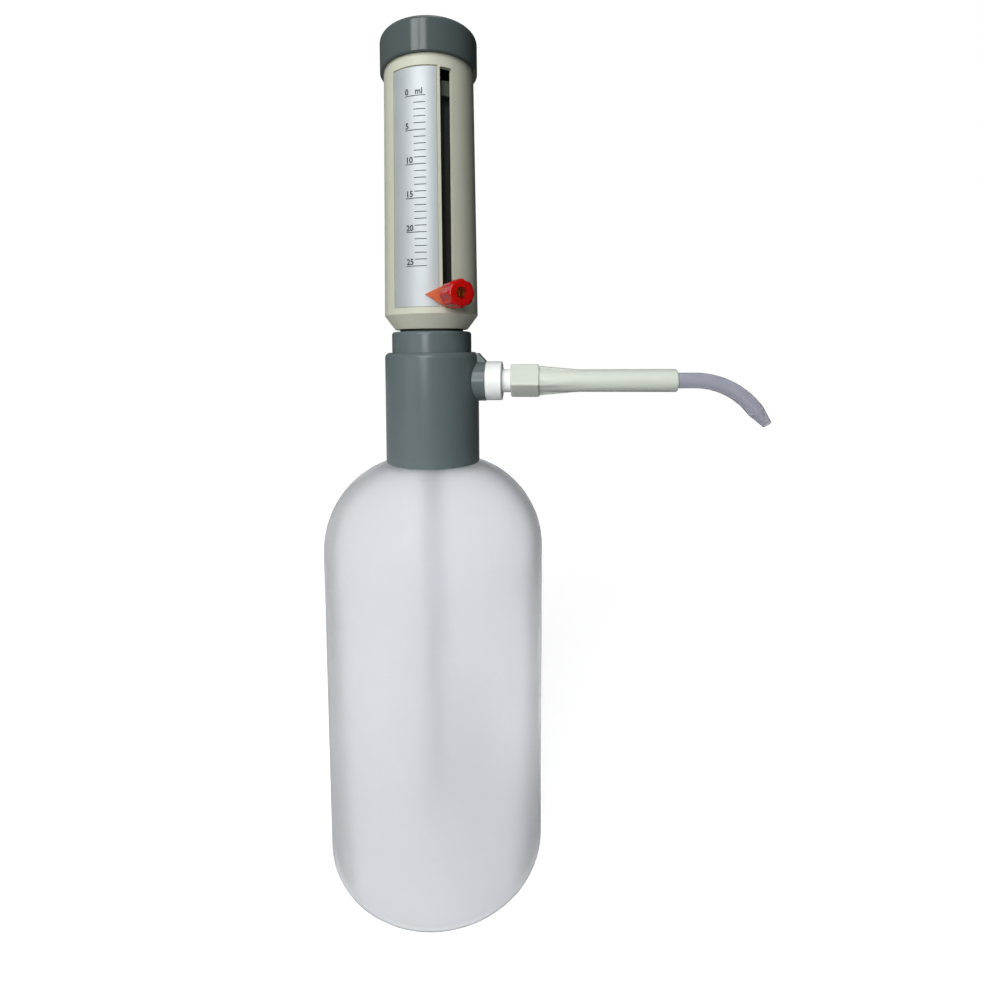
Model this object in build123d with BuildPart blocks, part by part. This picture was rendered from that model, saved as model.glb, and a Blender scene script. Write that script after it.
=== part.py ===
"""Bottle top dispenser: a sleeve-lift volumetric dispenser on a one-litre plastic reservoir.

Millimetres, +Z up.  The origin is the centre of the reservoir's foot, and the discharge arm points
along +X.  Azimuths are measured from -Y (the side that the scale faces) towards +X.
"""
from build123d import *
from math import cos, degrees, radians, sin, sqrt
import os

os.makedirs("parts", exist_ok=True)

# ---------------------------------------------------------------- clearances
FIT = 0.05            # between pieces that are pressed or screwed together
SEAL_FIT = 0.05       # between the piston's seals and the glass
RUN = 0.30            # between surfaces that slide or turn past each other
STOP_GAP = 0.30       # left where a slide ends against its stop
TOUCH = 0.02          # between a ball and its seat
ROOT = 1.0            # depth to which a fin, a lobe or a tube is sunk in what it grows from
CUT_PAST = 1.0        # how far a cutting shape runs past what it cuts

# ---------------------------------------------------------------- reservoir
BODY_R = 48.0         # at the top of the side wall
FOOT_R = 46.6         # at the bottom of the side wall
FOOT_ROUND = 4.0
FOOT_RING_W = 4.6     # width of the flat ring that it stands on
PUSH_UP = 4.0         # rise of the base's middle
BOTTLE_WALL = 1.6
SHOULDER_Z = 131.7    # where the side wall turns into the shoulder
SHOULDER_R = 37.7     # radius of the shoulder's arc
NECK_R = 17.4
NECK_WALL = 2.0
NECK_BEAD_R = 18.3    # support bead below the closure
NECK_BEAD_H = 1.6

# ---------------------------------------------------------------- valve housing
COLLAR_R = 20.7
COLLAR_WALL = 2.0     # round the neck
COLLAR_H = 48.0
COLLAR_GAP = 0.3      # above the shoulder
NECK_ENGAGEMENT = 18.2
GASKET_T = 1.5
GASKET_LIP = 1.8      # how far the gasket reaches inside the bottle's mouth
WEB_T = 3.5           # between the neck's recess and the valve block
LEDGE_ROUND = 2.2
RING_R = 17.55
RING_H = 9.0
RING_ROUND = 1.3
BLOCK_R = 14.9
BLOCK_H = 20.5
SPIGOT_R = 9.9        # lower end of the valve block
SPIGOT_L = 16.0       # of the spigot, below the block's seat
BOSS_R = 8.75
BOSS_END = 24.2       # face of the side boss, from the axis
SADDLE_W = 6.0        # rib that carries the boss up to the ledge
SADDLE_DROP = 0.5     # of the rib's top below the ledge
SADDLE_RUN = 3.2      # of the slope in which the rib ends over the boss
ARM_RISE = 12.1       # of the discharge axis above the block's seat

# ---------------------------------------------------------------- valves and intake
CHANNEL_R = 2.2
INTAKE_BORE_R = 4.5
INTAKE_BALL_R = 3.0
INTAKE_LIFT = 1.8
SEAT_H = 4.0
SEAT_MOUTH = 0.9      # depth of each seat's 45 degree mouth
SEAT_CONTACT = 0.3    # from the mouth's inner edge to the circle on which the ball sits
CAGE_H = 1.6
CAGE_BAR = 1.3
CAGE_RIM = 1.0
PLUG_L = 2.0          # of the intake connector, inside the block
FLANGE_T = 3.0        # hexagonal flange of the intake connector
FLANGE_R = 7.5        # of the flange, across its corners
NIPPLE_L = 10.0
TUBE_R = 4.0          # intake tube
TUBE_WALL = 1.0
TUBE_BOTTOM = 9.0
DISCHARGE_BORE_R = 4.6
DISCHARGE_SEAT_X = 11.2
DISCHARGE_SEAT_L = 5.8
DISCHARGE_BALL_R = 2.5
LINER_WALL = 1.35
SPRING_R = 1.95
SPRING_WIRE_R = 0.3
SPRING_TURNS = 5

# ---------------------------------------------------------------- discharge arm
THREAD_STUB_R = 6.3   # housing's male thread inside the union nut
THREAD_STUB_L = 4.1
NOZZLE_SEAL_T = 0.8
UNION_R = 8.5
UNION_L = 7.1
UNION_END_WALL = 1.2
UNION_ROUND = 0.5
NOZZLE_NECK_R = 5.05
NOZZLE_FLANGE_T = 0.85
NOZZLE_NECK_GAP = 3.7 # white neck that shows between the nut and the nozzle
OUTLET_CHANNEL_R = 1.7
STUB_R = 3.6
STUB_L = 6.0
NOZZLE_BASE_L = 12.3
NOZZLE_CORNER_R = 7.7 # half the width of the nozzle's base across its corners
NOZZLE_BASE_TURN = 10.0
NOZZLE_EDGE_ROUND = 1.0
NOZZLE_CHAMFER = 0.5
NOZZLE_R = 4.8
NOZZLE_L = 68.9
NOZZLE_END_ROUND = 0.8
FIN_T = 1.4
FIN_L = 18.0
FIN_DROP = 1.2        # of a fin's high end below the base's corner
FIN_SINK = 0.2        # of a fin's low end below the nozzle's surface
DROP_TUBE_R = 3.25
DROP_TUBE_WALL = 0.9
DROP_STRAIGHT = 7.0   # straight run past the nozzle
DROP_BEND_R = 28.5
DROP_BEND = 52.0
DROP_RUN = 2.0        # straight run past the bend
TIP_L = 6.8
TIP_R = 1.9
TIP_BORE_R = 1.2

# ---------------------------------------------------------------- measuring cylinder and guide
CYL_BORE_R = 10.82    # 25 ml in 68 mm of stroke
GLASS_WALL = 1.9
GUIDE_WALL = 1.15
GUIDE_FOOT_H = 9.0
ORING_R = 0.9
TOP_SEAL_T = 1.6
STROKE = 80.0         # lift of the sleeve with the stop parked at the bottom of its slot
COLLAR_LIP = 3.0      # depth to which the stop collar sits over the guide
STOP_COLLAR_H = 6.0

# ---------------------------------------------------------------- sleeve, cap and piston
REST_GAP = 1.0        # between the housing's ring and the sleeve at rest
SLEEVE_FOOT_R = 16.0
SLEEVE_TAPER_H = 6.0
SLEEVE_LOW_R = 20.5
SLEEVE_TOP_R = 19.55
SLEEVE_BORE_R = 17.6
SLEEVE_SHOW_H = 111.0 # from the sleeve's lower edge to the cap
LIP_T = 1.4
CAP_R = 21.2
CAP_H = 14.8
CAP_TOP_T = 2.5
CAP_ROUND = 2.4
CAP_CHAMFER = 0.3
CAP_BOSS_R = 7.0
CAP_BOSS_H = 14.0
ROD_R = 4.0
ROD_IN_CAP = 12.0
LOCKNUT_H = 4.5
LOCKNUT_FLATS = 13.0
PISTON_H = 12.0
PISTON_CORE_R = 10.4
PISTON_GROOVE_R = 9.2
PISTON_SPIGOT_R = 3.0
PISTON_SPIGOT_L = 9.0
SEAL_H = 2.0
SEAL_EDGE = 2.0       # from each end of the piston to the nearer seal

# ---------------------------------------------------------------- scale and slot
SLOT_AZ = 32.9
SLOT_W = 5.1
SLOT_BELOW = 3.0      # slot below the parked stop's axis
SLOT_TOP_GAP = 5.2    # from the slot's upper end to the cap
SLOT_ROUND = 0.6
PANEL_AZ = (-36.3, 22.6)
PANEL_DEPTH = 0.6
PANEL_FOOT = 2.3      # panel's lower edge above the taper
PANEL_TOP_GAP = 4.8   # panel's upper edge below the cap
LABEL_T = 0.35
LABEL_EDGE = 0.5

# ---------------------------------------------------------------- volume stop
PARK_RISE = 12.95     # parked stop above the sleeve's lower edge
STUD_R = 1.5
SLIDE_NUT = (8.0, 4.4, 1.8)      # along the wall, up, and radially
SLIDE_KEY = 3.2       # the nut's key, out into the slot
POINTER_T = 1.3
POINTER_REACH = 9.7
POINTER_TILT = 4.0    # of its tip, upwards
POINTER_HUB_R = 5.0
POINTER_TIP_R = 0.25
POINTER_SEAT_R = 3.9
KNOB_GAP = 0.6        # from the pointer's plate to the knob
KNOB_L = 11.4
KNOB_HUB_L = 3.0
KNOB_HUB_R = 4.4
KNOB_R = 5.8
KNOB_LOBES = 8
KNOB_LOBE_R = 1.4
KNOB_ROUND = 1.8      # of its front rim, over the lobes
KNOB_BORE_R = 2.4
INSERT_L = 7.0
STUD_IN_INSERT = 6.0

# ---------------------------------------------------------------- stack of heights
SHOULDER_X = BODY_R - SHOULDER_R
FOOT_FLAT_R = FOOT_R - FOOT_ROUND
FOOT_RING_R = FOOT_FLAT_R - FOOT_RING_W
CONTACT = sqrt(0.5)   # sine and cosine of the 45 degree contact between a ball and its seat


def shoulder_height(r, inset=0.0):
    """Height of the shoulder's arc at radius r, or of the arc inset by a wall."""
    return SHOULDER_Z + sqrt((SHOULDER_R - inset) ** 2 - (r - SHOULDER_X) ** 2)


COLLAR_BORE_R = COLLAR_R - COLLAR_WALL
COLLAR_BOTTOM = shoulder_height(COLLAR_BORE_R) + COLLAR_GAP
NECK_TOP = COLLAR_BOTTOM + NECK_ENGAGEMENT
CEILING = NECK_TOP + GASKET_T
BLOCK_SEAT = CEILING + WEB_T
BLOCK_TOP = BLOCK_SEAT + BLOCK_H
ARM_Z = BLOCK_SEAT + ARM_RISE
SPIGOT_BOTTOM = BLOCK_SEAT - SPIGOT_L
SEAT_LOW = SPIGOT_BOTTOM + PLUG_L
SEAT_HIGH = SEAT_LOW + SEAT_H
INTAKE_BALL_Z = SEAT_HIGH - SEAT_MOUTH + SEAT_CONTACT + INTAKE_BALL_R * CONTACT + TOUCH
CAGE_BOTTOM = INTAKE_BALL_Z + INTAKE_BALL_R + INTAKE_LIFT + STOP_GAP
INTAKE_STEP = CAGE_BOTTOM + CAGE_H
LEDGE_Z = COLLAR_BOTTOM + COLLAR_H
RING_TOP = LEDGE_Z + RING_H
SLEEVE_BOTTOM = RING_TOP + REST_GAP
TAPER_TOP = SLEEVE_BOTTOM + SLEEVE_TAPER_H
CAP_BOTTOM = SLEEVE_BOTTOM + SLEEVE_SHOW_H
CAP_TOP = CAP_BOTTOM + CAP_H
CAP_CEILING = CAP_TOP - CAP_TOP_T
PARK_Z = SLEEVE_BOTTOM + PARK_RISE
STOP_FACE = PARK_Z + SLIDE_NUT[1] / 2 + STROKE + STOP_GAP
GLASS_R = CYL_BORE_R + GLASS_WALL
GUIDE_BORE_R = GLASS_R + FIT
GUIDE_R = GUIDE_BORE_R + GUIDE_WALL
GUIDE_TOP = STOP_FACE + COLLAR_LIP
GLASS_BOTTOM = BLOCK_TOP + 2 * ORING_R
GLASS_TOP = GUIDE_TOP - TOP_SEAL_T
HOUSING_BORE_R = BLOCK_R + FIT


def sleeve_radius(z):
    """Outer radius of the sleeve's drafted wall at height z."""
    part_way = (z - TAPER_TOP) / (CAP_BOTTOM - TAPER_TOP)
    return SLEEVE_LOW_R + (SLEEVE_TOP_R - SLEEVE_LOW_R) * part_way


# ---------------------------------------------------------------- planes and axes
ARM_AXIS = Axis((0, 0, ARM_Z), (1, 0, 0))
ARM_SECTION = Plane(origin=(0, 0, ARM_Z), x_dir=(1, 0, 0), z_dir=(0, -1, 0))


def arm_plane(x):
    """Plane across the discharge arm at x, with +Y to the right and +Z up."""
    return Plane(origin=(x, 0, ARM_Z), x_dir=(0, 1, 0), z_dir=(1, 0, 0))


def arm_ray(turn):
    """Plane through the arm's axis whose second direction points out at a turn from +Z towards -Y."""
    a = radians(turn)
    return Plane(origin=(0, 0, ARM_Z), x_dir=(1, 0, 0), z_dir=(0, -cos(a), -sin(a)))


def radial_plane(azimuth, height, r=0.0):
    """Plane that faces out at an azimuth, at radius r, with +Z up in it."""
    a = radians(azimuth)
    place = (r * sin(a), -r * cos(a), height)
    return Plane(origin=place, x_dir=(cos(a), sin(a), 0), z_dir=(sin(a), -cos(a), 0))


def section_plane(azimuth):
    """Half plane through the main axis at an azimuth: first direction out, second up."""
    a = radians(azimuth)
    return Plane(origin=(0, 0, 0), x_dir=(sin(a), -cos(a), 0), z_dir=(-cos(a), -sin(a), 0))


def finish(piece, name):
    """Label one finished piece and write it."""
    piece.part.label = name
    export_step(piece.part, f"parts/{name}.step")


def turned(name, outline, section=Plane.XZ, axis=Axis.Z):
    """A plain ring or shaft, turned about an axis from the corners of its half section."""
    with BuildPart() as piece:
        with BuildSketch(section):
            with BuildLine():
                Polyline(*outline, close=True)
            make_face()
        revolve(axis=axis)
    finish(piece, name)


def ring_section(r_in, r_out, low, high):
    """Corners of a ring's half section about the main axis."""
    return (r_in, low), (r_out, low), (r_out, high), (r_in, high)


def arm_section(r_in, r_out, start, end):
    """Corners of a ring's half section about the arm's axis."""
    return (start, r_in), (end, r_in), (end, r_out), (start, r_out)


# ---------------------------------------------------------------- reservoir
inner_arc_r = SHOULDER_R - BOTTLE_WALL
MOUTH_R = NECK_R - NECK_WALL
with BuildPart() as bottle:
    with BuildSketch(Plane.XZ):
        with BuildLine():
            Polyline(
                (0, PUSH_UP), (FOOT_RING_R - PUSH_UP, PUSH_UP), (FOOT_RING_R, 0), (FOOT_FLAT_R, 0)
            )
            RadiusArc((FOOT_FLAT_R, 0), (FOOT_R, FOOT_ROUND), -FOOT_ROUND)
            Line((FOOT_R, FOOT_ROUND), (BODY_R, SHOULDER_Z))
            RadiusArc((BODY_R, SHOULDER_Z), (NECK_R, shoulder_height(NECK_R)), -SHOULDER_R)
            Polyline(
                (NECK_R, shoulder_height(NECK_R)), (NECK_R, NECK_TOP), (0, NECK_TOP), (0, PUSH_UP)
            )
        make_face()
    revolve(axis=Axis.Z)
    with BuildSketch(Plane.XY.offset(shoulder_height(NECK_BEAD_R))):
        Circle(NECK_BEAD_R)
    extrude(amount=NECK_BEAD_H)
    with BuildSketch(Plane.XZ):
        with BuildLine():
            inner_foot_r = FOOT_R - BOTTLE_WALL
            Polyline(
                (0, PUSH_UP + BOTTLE_WALL),
                (FOOT_RING_R - PUSH_UP + BOTTLE_WALL / 2, PUSH_UP + BOTTLE_WALL),
                (FOOT_RING_R + BOTTLE_WALL / 2, BOTTLE_WALL),
                (FOOT_FLAT_R, BOTTLE_WALL),
            )
            RadiusArc((FOOT_FLAT_R, BOTTLE_WALL), (inner_foot_r, FOOT_ROUND), BOTTLE_WALL - FOOT_ROUND)
            Line((inner_foot_r, FOOT_ROUND), (BODY_R - BOTTLE_WALL, SHOULDER_Z))
            neck_inside_z = shoulder_height(MOUTH_R, BOTTLE_WALL)
            RadiusArc((BODY_R - BOTTLE_WALL, SHOULDER_Z), (MOUTH_R, neck_inside_z), -inner_arc_r)
            Polyline(
                (MOUTH_R, neck_inside_z), (MOUTH_R, NECK_TOP), (0, NECK_TOP), (0, PUSH_UP + BOTTLE_WALL)
            )
        make_face()
    revolve(axis=Axis.Z, mode=Mode.SUBTRACT)
finish(bottle, "bottle")

# ---------------------------------------------------------------- valve housing: collar, ring and side boss
saddle_top = LEDGE_Z - SADDLE_DROP - ARM_Z
with BuildPart() as housing:
    with BuildSketch(Plane.XZ):
        with BuildLine():
            Polyline(
                (0, COLLAR_BOTTOM), (COLLAR_R, COLLAR_BOTTOM), (COLLAR_R, LEDGE_Z), (RING_R, LEDGE_Z),
                (RING_R, RING_TOP), (0, RING_TOP), close=True,
            )
        make_face()
    revolve(axis=Axis.Z)
    outer_rims = housing.edges().filter_by(GeomType.CIRCLE)
    fillet([e for e in outer_rims if abs(e.radius - COLLAR_R) < FIT and e.center().Z > ARM_Z], LEDGE_ROUND)
    fillet([e for e in housing.edges().filter_by(GeomType.CIRCLE)
            if abs(e.radius - RING_R) < FIT and e.center().Z > LEDGE_Z + FIT], RING_ROUND)
    with BuildSketch(arm_plane(0)):
        Circle(BOSS_R)
    extrude(amount=BOSS_END)
    with BuildSketch(ARM_SECTION):
        with BuildLine():
            Polyline(
                (0, 0), (BOSS_END - FIT, 0), (BOSS_END - FIT, BOSS_R - FIT),
                (BOSS_END - SADDLE_RUN, saddle_top), (0, saddle_top), close=True,
            )
        make_face()
    extrude(amount=SADDLE_W / 2, both=True)
    with BuildSketch(arm_plane(BOSS_END)):
        Circle(THREAD_STUB_R)
    extrude(amount=THREAD_STUB_L)
    with BuildSketch(Plane.XY.offset(COLLAR_BOTTOM)):
        Circle(COLLAR_BORE_R)
    extrude(amount=CEILING - COLLAR_BOTTOM, mode=Mode.SUBTRACT)
    with BuildSketch(Plane.XY.offset(CEILING)):
        Circle(SPIGOT_R + FIT)
    extrude(amount=WEB_T, mode=Mode.SUBTRACT)
    with BuildSketch(Plane.XY.offset(BLOCK_SEAT)):
        Circle(HOUSING_BORE_R)
    extrude(amount=RING_TOP - BLOCK_SEAT, mode=Mode.SUBTRACT)
    with BuildSketch(arm_plane(0)):
        Circle(DISCHARGE_BORE_R)
    extrude(amount=BOSS_END + THREAD_STUB_L, mode=Mode.SUBTRACT)
finish(housing, "valve_housing")

turned("neck_gasket", ring_section(MOUTH_R - GASKET_LIP, COLLAR_BORE_R - FIT, NECK_TOP, CEILING))

# ---------------------------------------------------------------- valve block
with BuildPart() as block:
    with BuildSketch(Plane.XY.offset(SPIGOT_BOTTOM)):
        Circle(SPIGOT_R)
    extrude(amount=SPIGOT_L)
    with BuildSketch(Plane.XY.offset(BLOCK_SEAT)):
        Circle(BLOCK_R)
    extrude(amount=BLOCK_H)
    with BuildSketch(Plane.XY.offset(SPIGOT_BOTTOM)):
        Circle(INTAKE_BORE_R)
    extrude(amount=INTAKE_STEP - SPIGOT_BOTTOM, mode=Mode.SUBTRACT)
    with BuildSketch(Plane.XY.offset(INTAKE_STEP)):
        Circle(CHANNEL_R)
    extrude(amount=BLOCK_TOP - INTAKE_STEP, mode=Mode.SUBTRACT)
    with BuildSketch(arm_plane(0)):
        Circle(CHANNEL_R)
    extrude(amount=BLOCK_R, mode=Mode.SUBTRACT)
    with BuildSketch(arm_plane(DISCHARGE_SEAT_X)):
        Circle(DISCHARGE_BORE_R)
    extrude(amount=BLOCK_R, mode=Mode.SUBTRACT)
finish(block, "valve_block")

# ---------------------------------------------------------------- intake valve, below the block
seat_bore = INTAKE_BALL_R * CONTACT - SEAT_CONTACT
turned("intake_seat", (
    (seat_bore, SEAT_LOW), (INTAKE_BORE_R - FIT, SEAT_LOW), (INTAKE_BORE_R - FIT, SEAT_HIGH),
    (seat_bore + SEAT_MOUTH, SEAT_HIGH), (seat_bore, SEAT_HIGH - SEAT_MOUTH),
))
with BuildPart() as intake_ball:
    with Locations((0, 0, INTAKE_BALL_Z)):
        Sphere(INTAKE_BALL_R)
finish(intake_ball, "intake_ball")

cage_r = INTAKE_BORE_R - FIT
with BuildPart() as cage:
    with BuildSketch(Plane.XY.offset(CAGE_BOTTOM)):
        Circle(cage_r)
        Circle(cage_r - CAGE_RIM, mode=Mode.SUBTRACT)
        for turn in (0, 90):
            Rectangle(2 * cage_r - CAGE_RIM, CAGE_BAR, rotation=turn)
    extrude(amount=CAGE_H)
finish(cage, "intake_cage")

with BuildPart() as connector:
    with BuildSketch(Plane.XY.offset(SPIGOT_BOTTOM - FLANGE_T)):
        RegularPolygon(FLANGE_R, 6)
    extrude(amount=FLANGE_T)
    with BuildSketch(Plane.XY.offset(SPIGOT_BOTTOM)):
        Circle(INTAKE_BORE_R - FIT)
    extrude(amount=PLUG_L)
    with BuildSketch(Plane.XY.offset(SPIGOT_BOTTOM - FLANGE_T - NIPPLE_L)):
        Circle(TUBE_R - TUBE_WALL - FIT)
    extrude(amount=NIPPLE_L)
    with BuildSketch(Plane.XY.offset(SPIGOT_BOTTOM - FLANGE_T - NIPPLE_L)):
        Circle(seat_bore)
    extrude(amount=NIPPLE_L + FLANGE_T + PLUG_L, mode=Mode.SUBTRACT)
finish(connector, "intake_connector")

TUBE_TOP = SPIGOT_BOTTOM - FLANGE_T
cut_half = TUBE_R + CUT_PAST
with BuildPart() as intake_tube:
    with BuildSketch(Plane.XY.offset(TUBE_BOTTOM)):
        Circle(TUBE_R)
        Circle(TUBE_R - TUBE_WALL, mode=Mode.SUBTRACT)
    extrude(amount=TUBE_TOP - TUBE_BOTTOM)
    with BuildSketch(Plane.XZ):
        with BuildLine():
            Polyline(
                (-cut_half, TUBE_BOTTOM - CUT_PAST), (cut_half, TUBE_BOTTOM - CUT_PAST),
                (cut_half, TUBE_BOTTOM - CUT_PAST + 2 * cut_half), close=True,
            )
        make_face()
    extrude(amount=cut_half, both=True, mode=Mode.SUBTRACT)
finish(intake_tube, "intake_tube")

# ---------------------------------------------------------------- discharge valve, in the side boss
SEAT_FACE_X = DISCHARGE_SEAT_X + DISCHARGE_SEAT_L
LINER_END_X = BOSS_END + THREAD_STUB_L
liner_r = DISCHARGE_BORE_R - FIT
side_seat_bore = DISCHARGE_BALL_R * CONTACT - SEAT_CONTACT
discharge_ball_x = SEAT_FACE_X - SEAT_MOUTH + SEAT_CONTACT + DISCHARGE_BALL_R * CONTACT + TOUCH
turned("discharge_seat", (
    (DISCHARGE_SEAT_X, side_seat_bore), (SEAT_FACE_X - SEAT_MOUTH, side_seat_bore),
    (SEAT_FACE_X, side_seat_bore + SEAT_MOUTH), (SEAT_FACE_X, liner_r), (DISCHARGE_SEAT_X, liner_r),
), ARM_SECTION, ARM_AXIS)
turned("discharge_liner", arm_section(liner_r - LINER_WALL, liner_r, SEAT_FACE_X, LINER_END_X),
       ARM_SECTION, ARM_AXIS)
with BuildPart() as discharge_ball:
    with Locations((discharge_ball_x, 0, ARM_Z)):
        Sphere(DISCHARGE_BALL_R)
finish(discharge_ball, "discharge_ball")

FLANGE_X = LINER_END_X + NOZZLE_SEAL_T + FIT
reach = DISCHARGE_BALL_R + SPRING_WIRE_R + FIT
spring_start = discharge_ball_x + sqrt(reach ** 2 - SPRING_R ** 2)
spring_end = FLANGE_X - SPRING_WIRE_R - FIT
spring_pitch = (spring_end - spring_start) / SPRING_TURNS
with BuildPart() as spring:
    with BuildLine():
        coil = Helix(
            pitch=spring_pitch, height=spring_end - spring_start, radius=SPRING_R,
            center=(spring_start, 0, ARM_Z), direction=(1, 0, 0),
        )
    with BuildSketch(Plane(origin=coil @ 0, z_dir=coil % 0)):
        RegularPolygon(SPRING_WIRE_R, 6)
    sweep(path=coil, is_frenet=True)
finish(spring, "discharge_spring")

seal_section = arm_section(DISCHARGE_BORE_R, THREAD_STUB_R - FIT, LINER_END_X, LINER_END_X + NOZZLE_SEAL_T)
turned("nozzle_seal", seal_section, ARM_SECTION, ARM_AXIS)

# ---------------------------------------------------------------- union nut and discharge arm
UNION_END = BOSS_END + UNION_L
union_wall_x = UNION_END - UNION_END_WALL
union_start = BOSS_END + FIT
with BuildPart() as union_nut:
    with BuildSketch(ARM_SECTION):
        with BuildLine():
            Polyline(
                (union_start, THREAD_STUB_R + RUN), (union_wall_x, THREAD_STUB_R + RUN),
                (union_wall_x, NOZZLE_NECK_R + RUN), (UNION_END, NOZZLE_NECK_R + RUN), (UNION_END, UNION_R),
                (union_start, UNION_R), close=True,
            )
        make_face()
    revolve(axis=ARM_AXIS)
    rim = [e for e in union_nut.edges().filter_by(GeomType.CIRCLE) if abs(e.radius - UNION_R) < FIT]
    fillet(rim, UNION_ROUND)
finish(union_nut, "union_nut")

NOZZLE_X = UNION_END + NOZZLE_NECK_GAP
STUB_END = NOZZLE_X + STUB_L
turned("outlet_connector", (
    (FLANGE_X, OUTLET_CHANNEL_R), (STUB_END, OUTLET_CHANNEL_R), (STUB_END, STUB_R), (NOZZLE_X, STUB_R),
    (NOZZLE_X, NOZZLE_NECK_R), (FLANGE_X + NOZZLE_FLANGE_T, NOZZLE_NECK_R),
    (FLANGE_X + NOZZLE_FLANGE_T, THREAD_STUB_R - 2 * FIT), (FLANGE_X, THREAD_STUB_R - 2 * FIT),
), ARM_SECTION, ARM_AXIS)

BASE_END = NOZZLE_X + NOZZLE_BASE_L
NOZZLE_END = BASE_END + NOZZLE_L - NOZZLE_BASE_L
drop_bore = DROP_TUBE_R + FIT
base_side = NOZZLE_CORNER_R * sqrt(2)
with BuildPart() as nozzle:
    with BuildSketch(arm_plane(NOZZLE_X)):
        base = Rectangle(base_side, base_side, rotation=45 + NOZZLE_BASE_TURN)
        fillet(base.vertices(), NOZZLE_EDGE_ROUND)
    extrude(amount=NOZZLE_BASE_L)
    chamfer(nozzle.faces().sort_by(Axis.X)[0].edges(), NOZZLE_CHAMFER)
    chamfer(nozzle.faces().sort_by(Axis.X)[-1].edges(), NOZZLE_CHAMFER)
    with BuildSketch(arm_plane(NOZZLE_X + ROOT)):
        Circle(NOZZLE_R)
    extrude(amount=NOZZLE_END - NOZZLE_X - ROOT)
    end_rim = nozzle.edges().filter_by(GeomType.CIRCLE).sort_by(Axis.X)[-1]
    fillet(end_rim, NOZZLE_END_ROUND)
    for quarter in range(4):
        with BuildSketch(arm_ray(quarter * 90 + NOZZLE_BASE_TURN)):
            with BuildLine():
                Polyline(
                    (BASE_END - ROOT, NOZZLE_R - ROOT), (BASE_END - ROOT, NOZZLE_CORNER_R - FIN_DROP),
                    (BASE_END + FIN_L, NOZZLE_R - FIN_SINK), (BASE_END + FIN_L, NOZZLE_R - ROOT), close=True,
                )
            make_face()
        extrude(amount=FIN_T / 2, both=True)
    with BuildSketch(arm_plane(NOZZLE_X)):
        Circle(STUB_R + FIT)
    extrude(amount=STUB_L + FIT, mode=Mode.SUBTRACT)
    with BuildSketch(arm_plane(NOZZLE_X)):
        Circle(drop_bore)
    extrude(amount=NOZZLE_L, mode=Mode.SUBTRACT)
finish(nozzle, "nozzle_body")

tube_start = STUB_END + FIT
bend_start = NOZZLE_END + DROP_STRAIGHT
bend_angle = radians(DROP_BEND)
bend_end = (bend_start + DROP_BEND_R * sin(bend_angle), ARM_Z - DROP_BEND_R * (1 - cos(bend_angle)))
tip_base = (bend_end[0] + DROP_RUN * cos(bend_angle), bend_end[1] - DROP_RUN * sin(bend_angle))
TIP_PLANE = Plane(
    origin=(tip_base[0], 0, tip_base[1]), x_dir=(0, 1, 0), z_dir=(cos(bend_angle), 0, -sin(bend_angle))
)
drop_inner = DROP_TUBE_R - DROP_TUBE_WALL
with BuildPart() as drop_tube:
    with BuildLine(Plane.XZ) as route:
        Line((tube_start, ARM_Z), (bend_start, ARM_Z))
        RadiusArc((bend_start, ARM_Z), bend_end, DROP_BEND_R)
        Line(bend_end, tip_base)
    with BuildSketch(arm_plane(tube_start)):
        Circle(DROP_TUBE_R)
        Circle(drop_inner, mode=Mode.SUBTRACT)
    sweep(path=route.line)
    with BuildSketch(TIP_PLANE):
        Circle(DROP_TUBE_R)
        Circle(drop_inner, mode=Mode.SUBTRACT)
    with BuildSketch(TIP_PLANE.offset(TIP_L)):
        Circle(TIP_R)
        Circle(TIP_BORE_R, mode=Mode.SUBTRACT)
    loft()
finish(drop_tube, "discharge_tube")

# ---------------------------------------------------------------- measuring cylinder, guide and stop collar
oring_ring_r = (CYL_BORE_R + GLASS_R) / 2
with BuildPart() as oring:
    with Locations((0, 0, BLOCK_TOP + ORING_R)):
        Torus(oring_ring_r, ORING_R)
finish(oring, "cylinder_oring")
turned("glass_cylinder", ring_section(CYL_BORE_R, GLASS_R, GLASS_BOTTOM, GLASS_TOP))
turned("cylinder_top_seal", ring_section(CYL_BORE_R, GLASS_R, GLASS_TOP, GUIDE_TOP))
turned("guide_tube", (
    (GUIDE_BORE_R, BLOCK_TOP), (BLOCK_R, BLOCK_TOP), (BLOCK_R, BLOCK_TOP + GUIDE_FOOT_H),
    (GUIDE_R, BLOCK_TOP + GUIDE_FOOT_H), (GUIDE_R, GUIDE_TOP), (GUIDE_BORE_R, GUIDE_TOP),
))
STOP_COLLAR_R = SLEEVE_BORE_R - RUN
turned("stop_collar", (
    (GUIDE_R + FIT, STOP_FACE), (STOP_COLLAR_R, STOP_FACE), (STOP_COLLAR_R, STOP_FACE + STOP_COLLAR_H),
    (ROD_R + RUN, STOP_FACE + STOP_COLLAR_H), (ROD_R + RUN, GUIDE_TOP), (GUIDE_R + FIT, GUIDE_TOP),
))

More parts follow.
